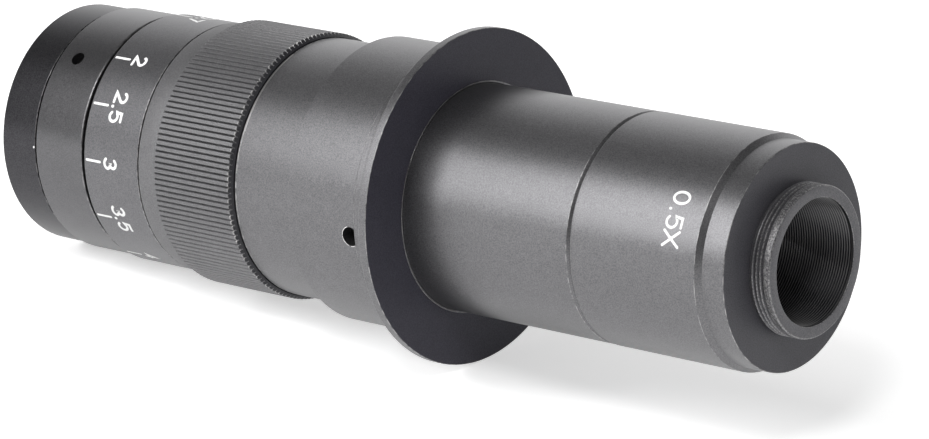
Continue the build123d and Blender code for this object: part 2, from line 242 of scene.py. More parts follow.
class Thread:
    """Helical thread on the wall of one radius between two heights. Its depth is positive outwards.

    The crest is a share of the pitch, and the fade is the length of each end in pitches. A waved
    thread has round crests and roots.
    """

    def __init__(self, wall_r, low, high, pitch, depth, crest=0.125, rows_per_pitch=8, fade=0.5,
                 waved=False):
        self.wall_r = wall_r
        self.low = low
        self.high = high
        self.pitch = pitch
        self.depth = depth
        self.crest = crest
        self.rows_per_pitch = rows_per_pitch
        self.fade = fade
        self.waved = waved

    def cut_rows(self, points):
        """Adds rows of points to the straight wall that carries the thread."""
        found = []
        for i, point in enumerate(points):
            found.append(point)
            after = points[(i + 1) % len(points)]
            if abs(point[0] - self.wall_r) > SAME_LENGTH or abs(after[0] - self.wall_r) > SAME_LENGTH:
                continue
            start, end = sorted((point[1], after[1]))
            start = max(start, self.low)
            end = min(end, self.high)
            count = round((end - start) / self.pitch * self.rows_per_pitch)
            rows = [start + (end - start) * k / count for k in range(count + 1)] if count > 1 else []
            if point[1] > after[1]:
                rows.reverse()
            for z in rows:
                if min(abs(z - point[1]), abs(z - after[1])) > SAME_LENGTH / 10:
                    found.append((self.wall_r, z, 0.0))
        return found

    def shape(self, r, z, angle, worn):
        """Radius and wear of a wall point. Crests get the bright worn colour and roots do not: rubbed wear on
        the camera thread, painted highlights on the bore's light-trapping thread.
        """
        if abs(r - self.wall_r) > SAME_LENGTH or not self.low <= z <= self.high:
            return r, worn
        phase = (z / self.pitch - angle / TURN) % 1.0
        flank = abs(2 * phase - 1)
        if self.waved:
            depth = (1 - math.cos(math.pi * flank)) / 2
        else:
            depth = min(1.0, max(0.0, (flank - self.crest) / (1 - 2 * self.crest)))
        ends = min(z - self.low, self.high - z) / (self.pitch * self.fade)
        return r + self.depth * depth * min(1.0, ends), max(0.0, 1.0 - CREST_WEAR_AND_HIGHLIGHT_FALL * depth)


def ring_place(vert):
    """Radius and height of a mesh point in whole micrometres."""
    return round(vert.co.xy.length * MICROMETRES), round(vert.co.z * MICROMETRES)


def wear_by_place(mesh):
    """Wear of each worn ring of points in a turned mesh."""
    layer = mesh.attributes["wear"].data
    return {ring_place(vert): layer[i].value for i, vert in enumerate(mesh.vertices) if layer[i].value > 0}


def set_wear(mesh, worn):
    """Writes the wear again on a mesh that a cut has changed."""
    old = mesh.attributes.get("wear")
    if old:
        mesh.attributes.remove(old)
    layer = mesh.attributes.new("wear", "FLOAT", "POINT")
    for i, vert in enumerate(mesh.vertices):
        layer.data[i].value = worn.get(ring_place(vert), 0.0)


def punched(piece, diameter, start, end, height, facings):
    """Cuts radial holes through a piece."""
    worn = wear_by_place(piece.data)
    for facing in facings:
        drill = bpy.data.meshes.new("drill")
        body = bmesh.new()
        bmesh.ops.create_cone(body, cap_ends=True, segments=HOLE_STEPS, radius1=diameter / 2,
                              radius2=diameter / 2, depth=end - start)
        body.to_mesh(drill)
        body.free()
        out = facing_direction(facing)
        tool = bpy.data.objects.new("drill", drill)
        turn = out.to_track_quat("Z", "Y").to_matrix().to_4x4()
        tool.matrix_world = Matrix.Translation(out * (start + end) / 2 + Vector((0, 0, height))) @ turn
        bpy.context.scene.collection.objects.link(tool)
        cut = piece.modifiers.new("cut", "BOOLEAN")
        cut.object = tool
        cut.solver = "EXACT"
        bpy.context.view_layer.update()
        graph = bpy.context.evaluated_depsgraph_get()
        made = bpy.data.meshes.new_from_object(piece.evaluated_get(graph))
        piece.modifiers.remove(cut)
        old = piece.data
        piece.data = made
        bpy.data.meshes.remove(old)
        bpy.data.objects.remove(tool)
        bpy.data.meshes.remove(drill)
    set_wear(piece.data, worn)


def facing_direction(facing):
    """Outward direction at a facing angle."""
    angle = math.radians(facing - 90)
    return Vector((math.cos(angle), math.sin(angle), 0))


# Materials

def new_material(name):
    material = bpy.data.materials.new(name)
    material.use_nodes = True
    nodes = material.node_tree.nodes
    nodes.clear()
    output = nodes.new("ShaderNodeOutputMaterial")
    shader = nodes.new("ShaderNodeBsdfPrincipled")
    material.node_tree.links.new(shader.outputs["BSDF"], output.inputs["Surface"])
    return material, shader


def node(material, kind, links=(), **values):
    """New node with its values set and its inputs linked, as (input, source, output) rows."""
    made = material.node_tree.nodes.new(kind)
    for key, value in values.items():
        if key.startswith("in_"):
            made.inputs[key[3:].replace("_", " ")].default_value = value
        else:
            setattr(made, key, value)
    for place, source, out in links:
        material.node_tree.links.new(source.outputs[out], made.inputs[place])
    return made


def link(material, source, out, target, place):
    material.node_tree.links.new(source.outputs[out], target.inputs[place])


def mixed(material, factor, low, high):
    """Colour between two others by a factor, which is a (node, output) pair."""
    made = node(material, "ShaderNodeMix", data_type="RGBA")
    made.inputs[6].default_value = (*low, 1)
    made.inputs[7].default_value = (*high, 1)
    material.node_tree.links.new(factor[0].outputs[factor[1]], made.inputs[0])
    return made


# Anodised finish: cloudy and fine noise, the chips of its rubbed edges and its turning marks
CLOUD_SCALE = 420.0
CLOUD_SHARE = 0.12
SPECK_SCALE = 4600.0
TONE_LOW = 0.38
TONE_HIGH = 0.74
WORN_METAL = (0.62, 0.61, 0.60, 1)
CHIPS_SCALE = 900.0
CHIPS_LOW = 0.42
CHIPS_HIGH = 0.60
SPECK_LOW = 0.3
SPECK_HIGH = 0.7
ROUGHNESS_SPREAD = 0.04
TURNING_SCALE = (30.0, 30.0, 2600.0)
TURNING_HEIGHT = 0.02 * MM
GRAIN_HEIGHT = 0.05 * MM


def anodised(name, dark, light, roughness, grain, turning, metallic, wear=0.55, specular=0.5,
             chips_scale=CHIPS_SCALE):
    """Black anodised aluminium: fine blasted grain, faint turning marks and rubbed edges.

    Where the scale of the chips is None, the worn colour is laid on evenly, without chips.
    """
    material, shader = new_material(name)
    place = node(material, "ShaderNodeTexCoord")
    shader.inputs["Metallic"].default_value = metallic
    shader.inputs["Specular IOR Level"].default_value = specular

    cloud = node(material, "ShaderNodeTexNoise", [("Vector", place, "Object")], in_Scale=CLOUD_SCALE,
                 in_Detail=3.0)
    speck = node(material, "ShaderNodeTexNoise", [("Vector", place, "Object")], in_Scale=SPECK_SCALE,
                 in_Detail=2.0)
    shade = node(material, "ShaderNodeMath", operation="MULTIPLY_ADD")
    link(material, cloud, "Fac", shade, 0)
    shade.inputs[1].default_value = CLOUD_SHARE
    link(material, speck, "Fac", shade, 2)
    tone = node(material, "ShaderNodeMapRange", [("Value", shade, 0)])
    tone.inputs["From Min"].default_value = TONE_LOW
    tone.inputs["From Max"].default_value = TONE_HIGH
    body_colour = mixed(material, (tone, 0), dark, light)

    rubbed = node(material, "ShaderNodeAttribute", attribute_name="wear")
    chips = node(material, "ShaderNodeTexNoise", [("Vector", place, "Object")], in_Detail=6.0)
    chips.inputs["Scale"].default_value = chips_scale or CHIPS_SCALE
    chip_mask = node(material, "ShaderNodeMapRange", [("Value", chips, "Fac")])
    chip_mask.inputs["From Min"].default_value = CHIPS_LOW
    chip_mask.inputs["From Max"].default_value = CHIPS_HIGH
    chip_mask.inputs["To Min"].default_value = 0.0 if chips_scale else 1.0
    worn = node(material, "ShaderNodeMath", operation="MULTIPLY")
    link(material, rubbed, "Fac", worn, 0)
    link(material, chip_mask, 0, worn, 1)
    amount = node(material, "ShaderNodeMath", operation="MULTIPLY")
    link(material, worn, 0, amount, 0)
    amount.inputs[1].default_value = wear
    colour = node(material, "ShaderNodeMix", data_type="RGBA")
    link(material, amount, 0, colour, 0)
    link(material, body_colour, 2, colour, 6)
    colour.inputs[7].default_value = WORN_METAL
    link(material, colour, 2, shader, "Base Color")

    rough = node(material, "ShaderNodeMapRange", [("Value", speck, "Fac")])
    rough.inputs["From Min"].default_value = SPECK_LOW
    rough.inputs["From Max"].default_value = SPECK_HIGH
    rough.inputs["To Min"].default_value = roughness - ROUGHNESS_SPREAD
    rough.inputs["To Max"].default_value = roughness + ROUGHNESS_SPREAD
    link(material, rough, 0, shader, "Roughness")

    stretch = node(material, "ShaderNodeMapping", [("Vector", place, "Object")])
    stretch.inputs["Scale"].default_value = TURNING_SCALE
    lines = node(material, "ShaderNodeTexNoise", [("Vector", stretch, 0)], in_Scale=1.0, in_Detail=2.0)
    line_bump = node(material, "ShaderNodeBump", [("Height", lines, "Fac")], in_Strength=turning)
    line_bump.inputs["Distance"].default_value = TURNING_HEIGHT
    grain_bump = node(material, "ShaderNodeBump", [("Height", speck, "Fac")], in_Strength=grain)
    grain_bump.inputs["Distance"].default_value = GRAIN_HEIGHT
    link(material, line_bump, 0, grain_bump, "Normal")
    link(material, grain_bump, 0, shader, "Normal")
    return material


def plain_finish(name, low, high, roughness, metallic=0.0, scale=800.0, bump=0.1):
    """Simple finish with a little variation, for pieces that hardly show."""
    material, shader = new_material(name)
    place = node(material, "ShaderNodeTexCoord")
    noise = node(material, "ShaderNodeTexNoise", [("Vector", place, "Object")], in_Scale=scale, in_Detail=4.0)
    colour = mixed(material, (noise, "Fac"), low, high)
    link(material, colour, 2, shader, "Base Color")
    shader.inputs["Roughness"].default_value = roughness
    shader.inputs["Metallic"].default_value = metallic
    raised = node(material, "ShaderNodeBump", [("Height", noise, "Fac")], in_Strength=bump)
    raised.inputs["Distance"].default_value = GRAIN_HEIGHT
    link(material, raised, 0, shader, "Normal")
    return material


def coated_glass():
    material, shader = new_material("lens_glass")
    place = node(material, "ShaderNodeTexCoord")
    noise = node(material, "ShaderNodeTexNoise", [("Vector", place, "Object")], in_Scale=90.0)
    tint = mixed(material, (noise, "Fac"), (0.90, 0.96, 0.93), (0.94, 0.97, 0.98))
    link(material, tint, 2, shader, "Base Color")
    shader.inputs["Roughness"].default_value = 0.02
    shader.inputs["IOR"].default_value = 1.52
    shader.inputs["Transmission Weight"].default_value = 1.0
    return material


TUBE_BLACK = anodised("tube_black", (0.132, 0.131, 0.136), (0.214, 0.212, 0.219), 0.36, 0.30, 0.05, 0.9)
# Darker copy of the black anodising for the flange's face: painted shade
FACE_SHADE_BLACK = anodised("face_shade_black", (0.038, 0.036, 0.050), (0.066, 0.064, 0.081), 0.42, 0.20, 0.03, 0.0,
                      specular=0.22)
# Darker copy of the anodising for the camera ring's shoulder face: painted shade
END_SHADE_BLACK = anodised("end_shade_black", (0.060, 0.059, 0.068), (0.108, 0.106, 0.118), 0.45, 0.20, 0.05, 0.0,
                     specular=0.3)
SCALE_BLACK = anodised("scale_black", (0.130, 0.129, 0.135), (0.206, 0.204, 0.212), 0.38, 0.30, 0.10, 0.9)
RING_BLACK = anodised("ring_black", (0.116, 0.115, 0.120), (0.162, 0.160, 0.166), 0.32, 0.06, 0.15, 0.95,
                      wear=0.3)
# Darker copy of the index ring's finish for the objective ring: painted shade for the light falling off
# towards the objective end
FRONT_SHADE_BLACK = anodised("front_shade_black", (0.042, 0.041, 0.046), (0.073, 0.072, 0.077), 0.34, 0.06, 0.12, 0.95,
                       wear=0.3)
KNURL_BLACK = anodised("knurl_black", (0.152, 0.151, 0.156), (0.228, 0.226, 0.232), 0.52, 0.40, 0.02, 0.9,
                       wear=0.9)
# Near-black copy for the knurl's end chamfer and end face: painted shade, as if in shadow
CHAMFER_SHADE_BLACK = anodised("chamfer_shade_black", (0.018, 0.018, 0.021), (0.032, 0.031, 0.036), 0.45, 0.10, 0.03,
                         0.0, specular=0.3)
NOSE_BLACK = anodised("nose_black", (0.085, 0.084, 0.090), (0.150, 0.148, 0.157), 0.38, 0.25, 0.12, 0.6,
                      wear=0.45, chips_scale=3200.0)
# Bore: its thread crests take the bright worn colour evenly, a painted highlight along each crest
BORE_BLACK_CREST_HIGHLIGHTS = anodised("bore_black_crest_highlights", (0.016, 0.016, 0.020), (0.026, 0.026, 0.031), 0.38, 0.05, 0.0, 0.6,
                      wear=0.34, chips_scale=None)
# Bright metal for the screw-hole rims: rubbed edges and painted highlight
WORN_EDGE_AND_HIGHLIGHT = plain_finish("worn_edge_and_highlight", (0.60, 0.59, 0.58), (0.85, 0.84, 0.83), 0.35, metallic=0.9,
                         scale=2500.0)
# Bright metal for the body tube's low edge: painted highlight as well as rubbing
RUBBED_EDGE_HIGHLIGHT = plain_finish("rubbed_edge_highlight", (0.44, 0.43, 0.43), (0.56, 0.55, 0.54), 0.28, metallic=0.95,
                           scale=1500.0)
INNER_BLACK = plain_finish("inner_black", (0.012, 0.012, 0.013), (0.022, 0.022, 0.023), 0.55)
SCREW_BLACK = plain_finish("screw_black", (0.020, 0.020, 0.021), (0.045, 0.045, 0.046), 0.40, metallic=1.0)
BRASS = plain_finish("turned_brass", (0.55, 0.40, 0.17), (0.66, 0.50, 0.24), 0.28, metallic=1.0)
WASHER_BLACK = plain_finish("washer_black", (0.022, 0.022, 0.022), (0.034, 0.034, 0.034), 0.5)
PAINT_WHITE = plain_finish("paint_white", (0.86, 0.86, 0.86), (0.93, 0.93, 0.92), 0.55, scale=3000.0)
GLASS = coated_glass()

FINISH_OF_SLOT = {
    "black_anodised": TUBE_BLACK,
    "scale_black": SCALE_BLACK,
    "grip_black": KNURL_BLACK,
    "inner_black": INNER_BLACK,
    "screw_steel": SCREW_BLACK,
    "follower_brass": BRASS,
    "washer_plastic": WASHER_BLACK,
    "lens_glass": GLASS,
}


def dress_cad_nodes():
    """Gives every CAD node the finish of its material slot."""
    for part in frame["record"]["subparts"]:
        cad = frame["nodes"][part["node"]]
        cad.data.materials.clear()
        cad.data.materials.append(FINISH_OF_SLOT[part["material_slot"]])


# Outside pieces. Heights and outer radii come from the frame.

EDGE = 0.3 * MM
FINE_EDGE = 0.15 * MM
INNER_EDGE = 0.1 * MM
JOINT_EDGE = 0.05 * MM


# Thread that takes another lens in front of the objective
SOCKET_THREAD_PITCH = 0.5 * MM
SOCKET_THREAD_DEPTH = 0.28 * MM


def objective_ring():
    low, high, outer = low_z("objective_ring"), high_z("objective_ring"), outer_r("objective_ring")
    socket, socket_end = 18.2 * MM, low + 4.0 * MM
    web_end = low_z("guide_tube")
    guide = outer_r("guide_tube") + FIT_GAP
    aperture = 14.0 * MM
    outline = [
        (socket, low, 2 * INNER_EDGE),
        (outer, low, EDGE),
        (outer, high, FINE_EDGE),
        (guide, high, 0),
        (guide, web_end, 0),
        (aperture, web_end, 0),
        (aperture, socket_end, INNER_EDGE),
        (socket, socket_end, 0),
    ]
    thread_low, thread_high = low + 0.3 * MM, socket_end - 0.4 * MM
    thread = Thread(socket, thread_low, thread_high, SOCKET_THREAD_PITCH, SOCKET_THREAD_DEPTH)
    mesh = turned_mesh("objective_ring_turned", outline, thread=thread)
    keep_flats(add_object("objective_ring_turned", mesh, FRONT_SHADE_BLACK, "lens_body", "objective_ring",
                          slot="black_anodised"))


# Screw holes: how many round a ring, their facing angles and diameters, and how far a drill overruns
SCREW_COUNT = 3
INDEX_SCREW_FACING = -28.9
COLLAR_SCREW_FACING = 25.3
INDEX_HOLE = 2.6 * MM
COLLAR_HOLE = 3.4 * MM
DRILL_OVERRUN = 1 * MM


def screw_facings(first):
    return [first + 360 * i / SCREW_COUNT for i in range(SCREW_COUNT)]


def index_ring():
    low, high, outer = low_z("index_ring"), high_z("index_ring"), outer_r("index_ring")
    bore = outer_r("guide_tube") + FIT_GAP
    groove_high = low + 0.7 * MM
    groove_r = outer_r("objective_ring") - 0.5 * MM
    line_z = low + 7.15 * MM
    line_half = 0.12 * MM
    line_depth = 0.02 * MM
    outline = [
        (bore, low, 0),
        (groove_r, low, 0),
        (groove_r, groove_high, 0),
        (outer, groove_high, FINE_EDGE),
        (outer, line_z - line_half, 0),
        (outer - line_depth, line_z, 0),
        (outer, line_z + line_half, 0),
        (outer, high, EDGE),
        (bore, high, 0),
    ]
    mesh = turned_mesh("index_ring_turned", outline)
    piece = add_object("index_ring_turned", mesh, RING_BLACK, "lens_body", "index_ring",
                       slot="black_anodised")
    screw_z = (low_z("index_set_screws") + high_z("index_set_screws")) / 2
    punched(piece, INDEX_HOLE, bore - DRILL_OVERRUN, outer + DRILL_OVERRUN, screw_z,
            screw_facings(INDEX_SCREW_FACING))
    keep_flats(piece)


def scale_ring():
    low, high, outer = low_z("scale_ring"), high_z("scale_ring"), outer_r("scale_ring")
    bore = 21.05 * MM
    outline = [
        (bore, low, 0),
        (outer, low, FINE_EDGE),
        (outer, high, FINE_EDGE),
        (bore, high, 0),
    ]
    mesh = turned_mesh("scale_ring_turned", outline)
    keep_flats(add_object("scale_ring_turned", mesh, SCALE_BLACK, "zoom_ring", "scale_ring",
                          slot="scale_black"))


# Straight knurl. Teeth have flat tips, rubbed bright over a short length at the chamfered end.
KNURL_TEETH = 149
KNURL_DEPTH = 0.4 * MM
KNURL_STEPS_PER_TOOTH = 10
KNURL_FLAT_SHARE = 0.65
TIP_WEAR = 0.25 * MM
CHAMFER_LIMIT = 0.6


def knurl_radius(tip, angle):
    """Radius of the knurl's toothed section at an angle."""
    phase = (angle * KNURL_TEETH / TURN) % 1.0
    from_tip = abs(2 * ((phase + 0.5) % 1.0) - 1)
    slope = (from_tip - KNURL_FLAT_SHARE) / (1.0 - KNURL_FLAT_SHARE)
    return tip - KNURL_DEPTH * min(1.0, max(0.0, slope))


def grip_ring():
    low, high, tip = low_z("grip_ring"), high_z("grip_ring"), outer_r("grip_ring")
    bore = 19.55 * MM
    sleeve = 21.0 * MM
    land_low = high_z("scale_ring") + 0.35 * MM
    land = 22.6 * MM
    knurl_low = land_low + 3.95 * MM
    lead_in = 1.1 * MM
    end_chamfer = 0.7 * MM
    outline = [
        (bore, low, 0),
        (sleeve, low, 0),
        (sleeve, land_low, 0),
        (land, land_low, FINE_EDGE),
        (land, knurl_low, 0),
        (tip - lead_in, knurl_low + 0.02 * MM, 0),
    ]
    root = tip - KNURL_DEPTH
    for share in (0.0, 0.25, 0.5, 0.75, 1.0):
        r = root + (tip - root) * share
        outline.append((r, knurl_low + lead_in - (tip - r), 0))
    outline.append((tip, high - end_chamfer - TIP_WEAR, 0))
    for share in (1.0, 0.8, 0.4, 0.2):
        r = tip - end_chamfer * (1 - share)
        outline.append((r, high - end_chamfer * share, -1 if share == 1.0 else 0))
    outline += [(tip - end_chamfer, high, 0), (bore, high, 0)]

    def relief(r, z, angle):
        if z < knurl_low or r <= root + SAME_LENGTH / 10:
            return r
        return min(r, knurl_radius(tip, angle))

    steps = KNURL_TEETH * KNURL_STEPS_PER_TOOTH
    mesh = turned_mesh("grip_ring_knurled", outline, steps=steps, relief=relief)
    piece = add_object("grip_ring_knurled", mesh, KNURL_BLACK, "zoom_ring", "grip_ring", slot="grip_black")
    # Painted shade: the end chamfer and end face of the knurl get the near-black copy
    paint_shade_on_faces(piece, finish=CHAMFER_SHADE_BLACK, limit=CHAMFER_LIMIT)


# The body tube's low edge, rubbed bright by the grip ring, with a painted highlight: a brighter metal only
# between two facing angles, where it mirrors the light
EDGE_BAND_WIDTH = 0.42 * MM
RUBBED_DEPTH = 0.015 * MM
HIGHLIGHT_FIRST_FACING = -52
HIGHLIGHT_LAST_FACING = -9


def body_tube():
    low, high, collar = low_z("body_tube"), high_z("body_tube"), outer_r("body_tube")
    body = 22.9 * MM
    step = low + 14.2 * MM
    hub = low_z("flange_ring")
    spigot = 23.425 * MM
    tube_bore = outer_r("rear_tube") + FIT_GAP
    tube_low = low_z("rear_tube")
    cell_bore, cell_low = 17.0 * MM, low_z("rear_cell")
    web_bore, web_low = 14.5 * MM, high_z("guide_tube")
    guide = outer_r("guide_tube") + FIT_GAP
    room = 19.6 * MM
    room_high = high_z("cam_tube") + 0.6 * MM
    outline = [
        (room, low, 0),
        (body - RUBBED_DEPTH, low, -1),
        (body - RUBBED_DEPTH / 3, low + EDGE_BAND_WIDTH / 2, -1),
        (body, low + EDGE_BAND_WIDTH, 0),
        (body, step, 0),
        (collar, step, JOINT_EDGE),
        (collar, hub, JOINT_EDGE),
        (spigot, hub, 0),
        (spigot, high, 0),
        (tube_bore, high, 0),
        (tube_bore, tube_low, 0),
        (cell_bore, tube_low, 0),
        (cell_bore, cell_low, 0),
        (web_bore, cell_low, 0),
        (web_bore, web_low, 0),
        (guide, web_low, 0),
        (guide, room_high, 0),
        (room, room_high, 0),
    ]
    mesh = turned_mesh("body_tube_turned", outline)
    piece = add_object("body_tube_turned", mesh, TUBE_BLACK, "lens_body", "body_tube", slot="black_anodised")
    screw_z = (low_z("collar_set_screws") + high_z("collar_set_screws")) / 2
    punched(piece, COLLAR_HOLE, outer_r("rear_tube"), collar + DRILL_OVERRUN, screw_z,
            screw_facings(COLLAR_SCREW_FACING))
    # Painted highlight: the bright metal goes on the low edge band only between the two facing angles where
    # the light is mirrored
    piece.data.materials.append(RUBBED_EDGE_HIGHLIGHT)
    highlight_slot = len(piece.data.materials) - 1
    for face in piece.data.polygons:
        x, y, z = face.center
        on_wall = face.center.xy.length > body - FINE_EDGE and abs(face.normal.z) < FACE_LIMIT
        facing = math.degrees(math.atan2(x, -y))
        if on_wall and z < low + EDGE_BAND_WIDTH and HIGHLIGHT_FIRST_FACING < facing < HIGHLIGHT_LAST_FACING:
            face.material_index = highlight_slot
    keep_flats(piece)


# Fine lip of the flange round the tube
LIP_WIDTH = 0.3 * MM
LIP_HEIGHT = 0.15 * MM
LIP_EDGE = 0.4 * LIP_HEIGHT


def flange_ring():
    low, high, outer = low_z("flange_ring"), high_z("flange_ring"), outer_r("flange_ring")
    hub = outer_r("body_tube")
    seat = high - 1.6 * MM
    spigot_bore = 23.475 * MM
    bore = outer_r("rear_tube") + FIT_GAP
    outline = [
        (spigot_bore, low, 0),
        (hub, low, JOINT_EDGE),
        (hub, seat, 0),
        (outer, seat, FINE_EDGE),
        (outer, high, FINE_EDGE),
        (bore + LIP_WIDTH, high, 0),
        (bore + LIP_WIDTH, high + LIP_HEIGHT, LIP_EDGE),
        (bore, high + LIP_HEIGHT, LIP_EDGE),
        (bore, seat, 0),
        (spigot_bore, seat, 0),
    ]
    mesh = turned_mesh("flange_ring_turned", outline)
    piece = add_object("flange_ring_turned", mesh, TUBE_BLACK, "lens_body", "flange_ring",
                       slot="black_anodised")
    paint_shade_on_faces(piece, beyond=bore + LIP_WIDTH)
    keep_flats(piece)


def rear_tube():
    low, high, outer = low_z("rear_tube"), high_z("rear_tube"), outer_r("rear_tube")
    bore = 17.7 * MM
    bevel = 0.45 * MM
    outline = [
        (bore, low, 0),
        (outer, low, 0),
        (outer, high - bevel, INNER_EDGE),
        (outer - bevel, high, 0),
        (bore, high, 0),
    ]
    mesh = turned_mesh("rear_tube_turned", outline)
    keep_flats(add_object("rear_tube_turned", mesh, TUBE_BLACK, "lens_body", "rear_tube",
                          slot="black_anodised"))


def adapter_tube():
    low, high, outer = low_z("adapter_tube"), high_z("adapter_tube"), outer_r("adapter_tube")
    joint = high_z("rear_tube")
    shoulder = joint + 0.45 * MM
    spigot = 17.65 * MM
    groove = outer - 0.5 * MM
    bore = 16.0 * MM
    neck = outer_r("camera_ring")
    taper = 0.95 * MM
    relay_end = high_z("relay_cell")
    web_bore, web_end = 14.0 * MM, relay_end + 1.5 * MM
    camera_bore = 17.65 * MM
    outline = [
        (bore, low, 0),
        (spigot, low, 0),
        (spigot, joint, 0),
        (groove, joint, 0),
        (groove, shoulder, 0),
        (outer, shoulder, FINE_EDGE),
        (outer, high - taper, INNER_EDGE),
        (neck, high, 0),
        (camera_bore, high, 0),
        (camera_bore, web_end, 0),
        (web_bore, web_end, 0),
        (web_bore, relay_end, 0),
        (bore, relay_end, 0),
    ]
    mesh = turned_mesh("adapter_tube_turned", outline)
    keep_flats(add_object("adapter_tube_turned", mesh, TUBE_BLACK, "lens_body", "adapter_tube",
                          slot="black_anodised"))


# Camera thread of 32 turns to the inch, and the fine light-trapping thread in the bore
CAMERA_THREAD_PITCH = 25.4 / 32 * MM
CAMERA_THREAD_DEPTH = 0.45 * MM
BAFFLE_PITCH = 0.5 * MM
BAFFLE_DEPTH = 0.3 * MM


def camera_ring():
    low, high, neck = low_z("camera_ring"), high_z("camera_ring"), outer_r("camera_ring")
    spigot = 17.6 * MM
    neck_low = high_z("adapter_tube")
    shoulder = high - 4.4 * MM
    nose = 12.7 * MM
    bore = 10.6 * MM
    relief_r = nose - 0.55 * MM
    relief_high = shoulder + 0.7 * MM
    thread_low = relief_high + 0.2 * MM
    lip_low = high - 1.0 * MM
    lip_start, lip_end = lip_low + 0.05 * MM, high - 0.35 * MM
    baffle_low, baffle_high = low + 0.4 * MM, high - 0.5 * MM
    outline = [
        (bore, low, INNER_EDGE),
        (spigot, low, 0),
        (spigot, neck_low, 0),
        (neck, neck_low, 0),
        (neck, shoulder, FINE_EDGE),
        (relief_r, shoulder, 0),
        (relief_r, relief_high, 0),
        (nose, thread_low, 0),
        (nose, lip_start, -1),
        (nose, lip_end, -1),
        (nose, high, 2 * FINE_EDGE),
        (bore, high, FINE_EDGE),
    ]
    outside = Thread(nose, thread_low, lip_low, CAMERA_THREAD_PITCH, -CAMERA_THREAD_DEPTH,
                     rows_per_pitch=12)
    # Light-trapping thread; its crests carry painted highlights through the bore's finish
    inside = Thread(bore, baffle_low, baffle_high, BAFFLE_PITCH, BAFFLE_DEPTH, rows_per_pitch=6,
                    waved=True)
    mesh = turned_mesh("camera_ring_turned", outline, thread=ThreadPair(outside, inside))
    piece = add_object("camera_ring_turned", mesh, TUBE_BLACK, "lens_body", "camera_ring",
                       slot="black_anodised")
    keep_flats(piece)
    # Painted shade: the faces that look up the axis get the darker copy
    paint_shade_on_faces(piece, finish=END_SHADE_BLACK)
    nose_slot, bore_slot = len(mesh.materials), len(mesh.materials) + 1
    mesh.materials.append(NOSE_BLACK)
    mesh.materials.append(BORE_BLACK_CREST_HIGHLIGHTS)
    for face in mesh.polygons:
        reach = face.center.xy.length
        if reach < bore + BAFFLE_DEPTH + INNER_EDGE and face.center.z < high - FINE_EDGE:
            face.material_index = bore_slot
        elif reach < nose + INNER_EDGE:
            face.material_index = nose_slot


class ThreadPair:
    """Two threads on different walls of one piece."""

    def __init__(self, *threads):
        self.threads = threads

    def cut_rows(self, points):
        for thread in self.threads:
            points = thread.cut_rows(points)
        return points

    def shape(self, r, z, angle, worn):
        for thread in self.threads:
            r, worn = thread.shape(r, z, angle, worn)
        return r, worn


# Numbers and lines, filled with white paint

STROKE = 0.55 * MM
PAINT_PROUD = 0.012 * MM
PAINT_DEPTH = 0.05 * MM
CAP_STEPS = 8
STROKE_SPAN = 0.4 * MM


def arc(cx, cy, rx, ry, start, end, steps=14):
    """Points of an elliptical arc between two angles in degrees."""
    return [
        (cx + rx * math.cos(math.radians(start + (end - start) * k / steps)),
         cy + ry * math.sin(math.radians(start + (end - start) * k / steps)))
        for k in range(steps + 1)
    ]


def glyphs():
    """Strokes of each sign in a box of width 0.66 and height 1, centred on the origin."""
    w, h = 0.33, 0.5
    return {
        "0": [arc(0, 0, w, h, 90, 450, 28)],
        "2": [arc(0, 0.22, 0.30, 0.28, 165, -35, 14) + [(-w, -h), (w, -h)]],
        "3": [arc(0, 0.24, 0.27, 0.26, 150, -90, 14) + arc(0, -0.24, 0.32, 0.26, 90, -150, 16)],
        "4": [[(0.14, -h), (0.14, h), (-w, -0.18), (w, -0.18)]],
        "5": [[(0.27, h), (-0.24, h), (-0.28, 0.06)] + arc(0, -0.16, 0.32, 0.34, 130, -140, 18)],
        "7": [[(-w, h), (w, h), (-0.10, -h)]],
        ".": [[(0, -h), (0, -h + 0.05)]],
        "X": [[(-0.40, -h), (0.40, h)], [(-0.40, h), (0.40, -h)]],
    }


GLYPHS = glyphs()


def stroke_outline(points, width):
    """Closed outline of a round-ended stroke along a line of points."""
    line = [Vector(p) for p in points]
    left, right = [], []
    for i, point in enumerate(line):
        ahead = line[min(i + 1, len(line) - 1)]
        behind = line[max(i - 1, 0)]
        along = (ahead - behind).normalized()
        before = (point - behind).normalized() if i else along
        after = (ahead - point).normalized() if i + 1 < len(line) else along
        across = Vector((-along.y, along.x))
        stretch = 1 / max(0.5, math.cos(before.angle(after, 0.0) / 2))
        left.append(point + across * width / 2 * stretch)
        right.append(point - across * width / 2 * stretch)
    return left, right


def cap(centre, edge, turn):
    """Points of a round end that starts at one edge point and turns half a circle."""
    arm = edge - centre
    found = []
    for k in range(1, CAP_STEPS):
        angle = turn * math.pi * k / CAP_STEPS
        found.append(centre + Vector((
            arm.x * math.cos(angle) - arm.y * math.sin(angle),
            arm.x * math.sin(angle) + arm.y * math.cos(angle),
        )))
    return found


